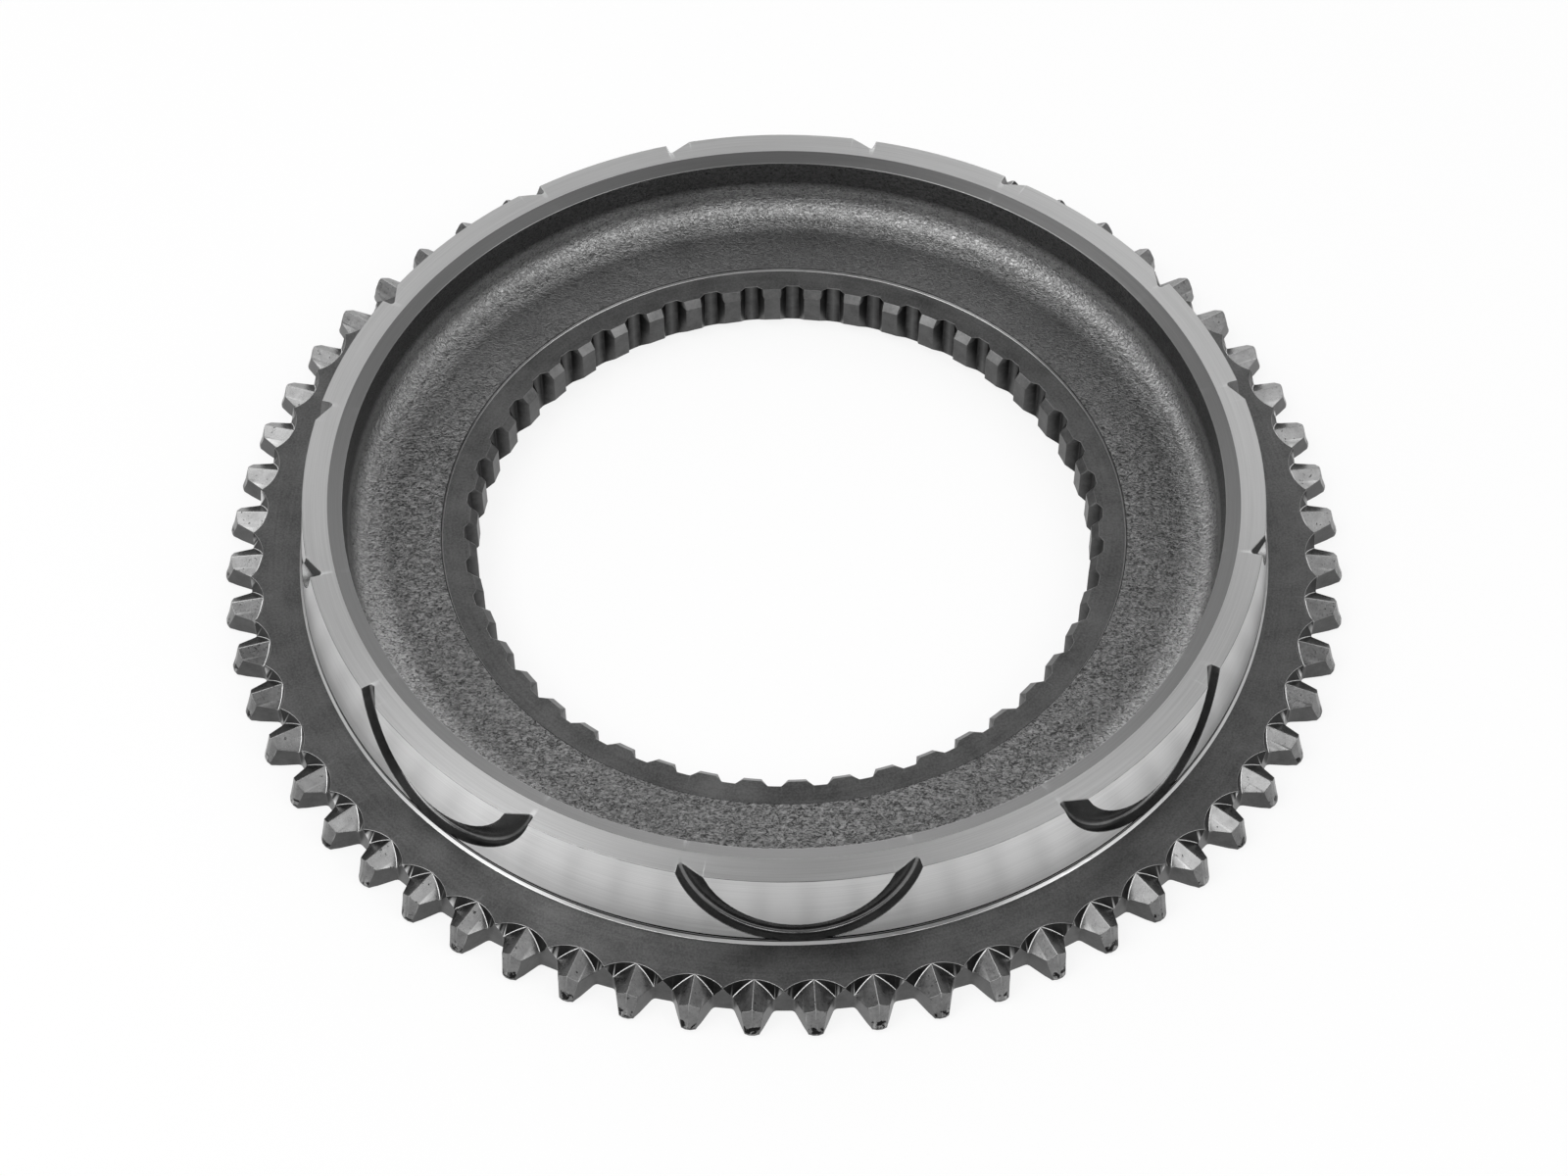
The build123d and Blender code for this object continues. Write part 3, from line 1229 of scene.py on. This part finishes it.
@dataclass(frozen=True)
class CutSteel:
    """Steel with fine marks round the axis, ground or turned.

    Args:
        tone: brightness of the metal.
        spread: how far the brightness varies, as a share of the tone.
        roughness: mean roughness.
        anisotropy: how far reflections stretch across the marks.
        edge_wear_and_highlight_tone: brightness of the lighter edges, bare metal with a painted highlight.
        pitch: distance between marks, in metres.
        relief: depth of the marks, in metres.
        mottle: share of soft patches in the pattern, 0 to 1.
        mark_length: how long a mark is, in metres.
        patch_scale: soft patches for each metre.
        speck_scale: fine specks for each metre.
    """

    tone: float
    spread: float
    roughness: float
    anisotropy: float
    edge_wear_and_highlight_tone: float = 0.6
    pitch: float = 0.00022
    relief: float = 0.000004
    mottle: float = 0.0
    mark_length: float = 0.03
    patch_scale: float = 140.0
    speck_scale: float = 2600.0

    def build(self, name: str) -> bpy.types.Material:
        """Builds the material.

        Args:
            name: its name.

        Returns:
            The material.
        """
        paint = Painter(name)
        marks = paint.lay(self.pitch, self.mark_length)
        patches = paint.noise(paint.position(), self.patch_scale, detail=4.0, roughness=0.6)
        speck = paint.noise(paint.position(), self.speck_scale, roughness=0.6)
        pattern = marks * (1 - self.mottle) + patches * (0.5 * self.mottle) + speck * (0.5 * self.mottle)
        span = 0.25 - 0.15 * self.mottle
        share = pattern.between(0.5 - span, 0.5 + span)
        colour = paint.mix(share, grey(self.tone * (1 - self.spread)), grey(self.tone * (1 + self.spread)))
        colour = paint.edged_with_painted_light(colour, self.edge_wear_and_highlight_tone)
        rough = self.roughness + (marks - 0.5) * 0.12 + (patches - 0.5) * (0.2 * self.mottle)
        normal = paint.bump(marks * 0.7 + speck * 0.3, self.relief)
        return paint.finish(
            Base_Color=colour,
            Metallic=1.0,
            Roughness=rough,
            Normal=normal,
            Anisotropic=self.anisotropy,
            Anisotropic_Rotation=0.25,
        )


@dataclass(frozen=True)
class ForgedSteel:
    """Rough forged steel with a fine worm-like grain, a painted highlight on the fillet and painted shade on
    the wall.

    Args:
        tone: brightness of the metal.
        roughness: mean roughness.
        relief: depth of the grain, in metres.
        grain_scale: grains for each metre.
        fine_scale: finer grains for each metre.
        broad_scale: broad clouds for each metre.
        stretch: how much longer the grains are along X, as the scale's share there.
        web_radii: radii between which the grain fades out from the ring, in metres.
        fillet_radii: radii between which the fillet starts, smoother and with a painted highlight, in metres.
        smooth_and_flatly_lit_places: Y between which the far side gets smoother, its grain also painted
            fainter for the flatter light there, in metres.
        wall_shade_heights: heights between which the wall's painted shade starts, in metres.
        contrast: brightness of the lightest grains, as a multiple of the tone.
    """

    tone: float = 0.172
    roughness: float = 0.42
    relief: float = 0.00024
    grain_scale: float = 1750.0
    fine_scale: float = 3500.0
    broad_scale: float = 55.0
    stretch: float = 0.62
    web_radii: tuple[float, float] = (0.072, 0.0805)
    fillet_radii: tuple[float, float] = (0.0735, 0.0765)
    smooth_and_flatly_lit_places: tuple[float, float] = (0.015, 0.05)
    wall_shade_heights: tuple[float, float] = (0.0155, 0.0175)
    contrast: float = 2.6

    def build(self, name: str) -> bpy.types.Material:
        """Builds the material.

        Args:
            name: its name.

        Returns:
            The material.
        """
        paint = Painter(name)
        x, y, z, radius = paint.place()
        stretched = paint.vector(x * self.stretch, y, z)
        grain = paint.noise(stretched, self.grain_scale, roughness=0.6, distortion=1.2).between(0.34, 0.66)
        fine = paint.noise(stretched, self.fine_scale, roughness=0.6, distortion=0.5).between(0.3, 0.7)
        broad = paint.noise(paint.position(), self.broad_scale, detail=3.0)
        near_ring = 1.0 - radius.between(*self.web_radii)
        fillet = radius.between(*self.fillet_radii)
        # the far side is smoother, and its grain is painted fainter there, standing in for the flatter light
        # that falls on it
        smooth_and_flatly_lit = y.between(*self.smooth_and_flatly_lit_places) * (1.0 - fillet)
        amount = (0.5 + near_ring * 0.5) * (0.5 + broad) * (1.0 - smooth_and_flatly_lit * 0.65)
        height = (grain * 0.7 + fine * 0.3) * amount
        pattern = ((grain - 0.5) * 0.8 + (fine - 0.5) * 0.7) * amount + (broad - 0.5) * 0.3 + 0.47
        wall = z.between(*self.wall_shade_heights)
        # painted highlight on the fillet and painted shade on the wall above it
        painted_highlight_and_shade = 1.0 + fillet * 0.95 - wall * 1.5
        level = (pattern.clamped() * 1.5 + 0.25) * painted_highlight_and_shade
        share = (level * (1 / self.contrast)).clamped()
        colour = paint.mix(share, grey(0.0), grey(self.tone * self.contrast))
        colour = paint.edged_with_painted_light(colour, 0.3)
        rough = self.roughness + (fine - 0.5) * 0.2 - fillet * 0.08
        normal = paint.bump(height, self.relief)
        return paint.finish(Base_Color=colour, Metallic=1.0, Roughness=rough, Normal=normal)


@dataclass(frozen=True)
class ToothSteel:
    """Steel of the dog teeth and other milled places: soft clouds, lighter edges that are partly bare metal
    and partly painted highlight, and dark nicks.

    Args:
        tone: brightness of the metal.
        edge_wear_and_highlight_tone: brightness of the lighter edges, bare metal with a painted highlight.
        roughness: mean roughness.
        nicks: how much of the worn tips dark pits cover, 0 to 1.
        relief: depth of the clouds, in metres.
        cloud_scale: clouds for each metre.
        fine_scale: fine clouds for each metre.
        tooth_scale: broad differences, about one to a tooth, for each metre.
        pit_scale: broad pits for each metre.
        speck_scale: small pits for each metre.
        tip_radii: radii between which the pitted tips start, in metres.
        tip_heights: heights between which they end, in metres.
        pit_tone: brightness of the pits.
    """

    tone: float
    edge_wear_and_highlight_tone: float
    roughness: float
    nicks: float = 0.0
    relief: float = 0.00002
    cloud_scale: float = 420.0
    fine_scale: float = 2200.0
    tooth_scale: float = 90.0
    pit_scale: float = 520.0
    speck_scale: float = 1250.0
    tip_radii: tuple[float, float] = (0.1032, 0.1044)
    tip_heights: tuple[float, float] = (0.0022, 0.0036)
    pit_tone: float = 0.012

    def build(self, name: str) -> bpy.types.Material:
        """Builds the material.

        Args:
            name: its name.

        Returns:
            The material.
        """
        paint = Painter(name)
        where = paint.position()
        cloud = paint.noise(where, self.cloud_scale, detail=4.0, roughness=0.6)
        fine = paint.noise(where, self.fine_scale, detail=3.0, roughness=0.6)
        tooth = paint.noise(where, self.tooth_scale, detail=1.0)
        share = (cloud * 0.45 + fine * 0.3 + tooth * 0.25).between(0.32, 0.68)
        colour = paint.mix(share, grey(self.tone * 0.65), grey(self.tone * 1.35))
        colour = paint.edged_with_painted_light(colour, self.edge_wear_and_highlight_tone)
        height = cloud * 0.5 + fine * 0.5
        if self.nicks > 0:
            _, _, z, radius = paint.place()
            low_tip = radius.between(*self.tip_radii) * (1.0 - z.between(*self.tip_heights))
            broad_pits = paint.noise(where, self.pit_scale, detail=3.0, roughness=0.6, distortion=0.6)
            specks = paint.noise(where, self.speck_scale, detail=3.0, roughness=0.65)
            start = 0.64 - 0.14 * self.nicks
            wide = (broad_pits + (low_tip - 1.0) * 0.4).between(start, start + 0.04)
            pits = (wide + specks.between(0.66, 0.7) * 0.8).clamped()
            colour = paint.mix(pits, colour, grey(self.pit_tone))
            height = height - pits * 4.0
        rough = self.roughness + (fine - 0.5) * 0.2
        normal = paint.bump(height, self.relief)
        return paint.finish(Base_Color=colour, Metallic=1.0, Roughness=rough, Normal=normal)


FINISHES: dict[Zone, CutSteel | ForgedSteel | ToothSteel] = {
    Zone.GROUND: CutSteel(tone=0.67, spread=0.1, roughness=0.4, anisotropy=0.9, edge_wear_and_highlight_tone=0.85),
    Zone.LAND: CutSteel(tone=0.6, spread=0.1, roughness=0.34, anisotropy=0.8, edge_wear_and_highlight_tone=0.9),
    Zone.TURNED: CutSteel(
        tone=0.21, spread=0.08, roughness=0.36, anisotropy=0.5, edge_wear_and_highlight_tone=0.5, pitch=0.0003, relief=0.00001
    ),
    Zone.COLLAR: CutSteel(tone=0.65, spread=0.1, roughness=0.3, anisotropy=0.3, edge_wear_and_highlight_tone=0.8),
    Zone.RELIEF: ToothSteel(tone=0.01, edge_wear_and_highlight_tone=0.01, roughness=0.5),
    Zone.FACE: CutSteel(
        tone=0.12, spread=0.3, roughness=0.42, anisotropy=0.3, edge_wear_and_highlight_tone=0.55, pitch=0.0006, mottle=0.8
    ),
    Zone.FORGED: ForgedSteel(),
    Zone.TEETH: ToothSteel(tone=0.175, edge_wear_and_highlight_tone=0.5, roughness=0.3, nicks=1.0),
    Zone.FLANK: ToothSteel(tone=0.075, edge_wear_and_highlight_tone=0.4, roughness=0.34),
    # painted shade: the scallop walls are near-black for the shade under the teeth's roofs
    Zone.SCALLOP: ToothSteel(tone=0.035, edge_wear_and_highlight_tone=0.85, roughness=0.42),
    Zone.GROOVE: ToothSteel(tone=0.15, edge_wear_and_highlight_tone=0.3, roughness=0.22),
    Zone.SPLINE: ToothSteel(tone=0.09, edge_wear_and_highlight_tone=0.35, roughness=0.4),
    Zone.CHAMFER: ToothSteel(tone=0.14, edge_wear_and_highlight_tone=0.4, roughness=0.34),
}


# The ring and its studio


@dataclass
class CouplingCone:
    """The whole ring, one piece of steel."""

    dogs: DogRing
    spline: SplinedBore
    body: TurnedBody

    def build(self) -> bpy.types.Object:
        """Builds the ring's mesh.

        Returns:
            The ring.
        """
        mesh = RingMesh()
        dogs, dog_angles = self.dogs.build()
        spline, spline_angles = self.spline.build()
        body, body_angles = self.body.build()
        dog_rows = mesh.add(dogs)
        spline_rows = mesh.add(spline)
        body_rows = mesh.add(body)
        mesh.join(body_rows[:, -1], body_angles, dog_rows[:, -1], dog_angles)
        mesh.join(body_rows[:, 0], body_angles, spline_rows[:, 0], spline_angles)
        mesh.join(dog_rows[:, 0], dog_angles, spline_rows[:, -1], spline_angles)
        return mesh.make("coupling_cone_ring")

    def dress(self, ring: bpy.types.Object) -> None:
        """Gives the ring its finishes, one for each zone."""
        for zone in ZONE_ORDER:
            ring.data.materials.append(FINISHES[zone].build(zone.value))


@dataclass(frozen=True)
class Softbox:
    """A square studio lamp that looks at the ring.

    Args:
        azimuth: direction it stands in, in degrees from +X towards +Y.
        elevation: height above the floor, in degrees.
        power: light output, in watts.
        size: edge length, in metres.
        distance: how far away it stands, in metres.
    """

    azimuth: float
    elevation: float
    power: float
    size: float = 0.6
    distance: float = 1.2

    def build(self, name: str) -> bpy.types.Object:
        """Builds the lamp.

        Args:
            name: its name.

        Returns:
            The lamp, linked to the scene.
        """
        light = bpy.data.lights.new(name, "AREA")
        light.shape = "SQUARE"
        light.size = self.size
        light.energy = self.power
        lamp = bpy.data.objects.new(name, light)
        azimuth, elevation = math.radians(self.azimuth), math.radians(self.elevation)
        direction = Vector((
            math.cos(azimuth) * math.cos(elevation),
            math.sin(azimuth) * math.cos(elevation),
            math.sin(elevation),
        ))
        lamp.location = direction * self.distance
        lamp.rotation_euler = direction.to_track_quat("Z", "Y").to_euler()
        lamp.visible_camera = False
        bpy.context.scene.collection.objects.link(lamp)
        return lamp


@dataclass
class Studio:
    """Camera, lamps, floor and background. Sizes in metres and degrees."""

    lamps: tuple[Softbox, ...] = (
        Softbox(90, 80, 0.5, size=0.9),
        Softbox(180, 58, 2.7),
        Softbox(225, 58, 4.1),
        Softbox(315, 58, 2.4),
        Softbox(0, 58, 0.4),
        Softbox(45, 58, 0.7),
        Softbox(135, 58, 0.7),
        Softbox(330, 35, 2.2),
        Softbox(210, 35, 1.8),
        Softbox(180, 35, 0.6),
        Softbox(270, 35, 0.6),
        Softbox(0, 35, 1.2),
        Softbox(60, 35, 1.3),
        Softbox(90, 35, 0.4),
        Softbox(120, 35, 1.2),
        Softbox(210, 12, 1.0),
        Softbox(90, 12, 2.9),
    )
    ambient: float = 0.03
    floor_radius: float = 6.0
    floor_sides: int = 96
    rim_height: float = 1.6
    floor_drop: float = 0.0003
    floor_white: float = 0.85
    floor_tone: float = 0.9
    camera_place: tuple[float, float, float] = (0.0, -0.40506, 0.51500)
    camera_tilt: float = 37.632
    camera_lens: float = 79.41

    def build_camera(self) -> None:
        """Sets the camera at the photograph's place."""
        camera = bpy.data.cameras.new("camera")
        camera.sensor_width = 36.0
        camera.lens = self.camera_lens
        camera.clip_start = 0.01
        holder = bpy.data.objects.new("camera", camera)
        holder.location = self.camera_place
        holder.rotation_euler = (math.radians(self.camera_tilt), 0.0, 0.0)
        bpy.context.scene.collection.objects.link(holder)
        bpy.context.scene.camera = holder

    def build_world(self) -> None:
        """Gives a dim even light."""
        world = bpy.data.worlds.new("studio")
        world.use_nodes = True
        tree = world.node_tree
        tree.nodes.clear()
        background = tree.nodes.new("ShaderNodeBackground")
        background.inputs["Color"].default_value = grey(1.0)
        background.inputs["Strength"].default_value = self.ambient
        output = tree.nodes.new("ShaderNodeOutputWorld")
        tree.links.new(background.outputs[0], output.inputs[0])
        bpy.context.scene.world = world

    def build_floor(self) -> bpy.types.Object:
        """Builds the white floor under the ring, with a white rim far out; the floor takes the ring's shadow.

        From below the camera looks through it at the ring's underside.

        Returns:
            The floor.
        """
        sides = self.floor_sides
        radius = self.floor_radius
        turns = [2 * math.pi * i / sides for i in range(sides)]
        low = [(radius * math.cos(turn), radius * math.sin(turn), 0.0) for turn in turns]
        high = [(x, y, self.rim_height) for x, y, _ in low]
        rim = [(i, sides + i, sides + (i + 1) % sides, (i + 1) % sides) for i in range(sides)]
        mesh = bpy.data.meshes.new("floor")
        mesh.from_pydata(low + high, [], [tuple(range(sides)), *rim])
        floor = bpy.data.objects.new("floor", mesh)
        floor.location.z = -self.floor_drop
        bpy.context.scene.collection.objects.link(floor)
        paint = Painter("floor_white")
        path = paint.node("ShaderNodeLightPath")
        rays = ("Is Camera Ray", "Is Glossy Ray", "Is Transmission Ray")
        seen = sum(paint.wire(path, ray) for ray in rays).math("MINIMUM", 1.0) * self.floor_white
        diffuse = paint.node("ShaderNodeBsdfDiffuse", inputs={"Color": grey(self.floor_tone)})
        glow = paint.node("ShaderNodeEmission", inputs={"Color": grey(1.0), "Strength": 1.0})
        underside = paint.wire(paint.node("ShaderNodeNewGeometry"), "Backfacing")
        below = underside * paint.wire(path, "Is Camera Ray")
        clear = paint.node("ShaderNodeBsdfTransparent")
        whole = paint.blend(below, paint.blend(seen, diffuse, glow), clear)
        paint.node("ShaderNodeOutputMaterial", inputs={0: paint.wire(whole)})
        mesh.materials.append(paint.material)
        return floor

    def build(self) -> None:
        """Builds the whole studio."""
        self.build_camera()
        self.build_world()
        self.build_floor()
        for i, lamp in enumerate(self.lamps):
            lamp.build(f"lamp_{i}")
        bpy.context.scene.view_settings.view_transform = "Standard"


def main() -> None:
    """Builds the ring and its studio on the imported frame."""
    logging.basicConfig(level=logging.INFO, format="%(message)s")
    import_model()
    dogs = DogRing()
    spline = SplinedBore()
    cone = CouplingCone(dogs, spline, TurnedBody(dogs, spline, OilGroove()))
    ring = cone.build()
    cone.dress(ring)
    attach(ring, "root")
    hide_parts(NODE)
    Studio().build()


if __name__ == "__main__":
    main()
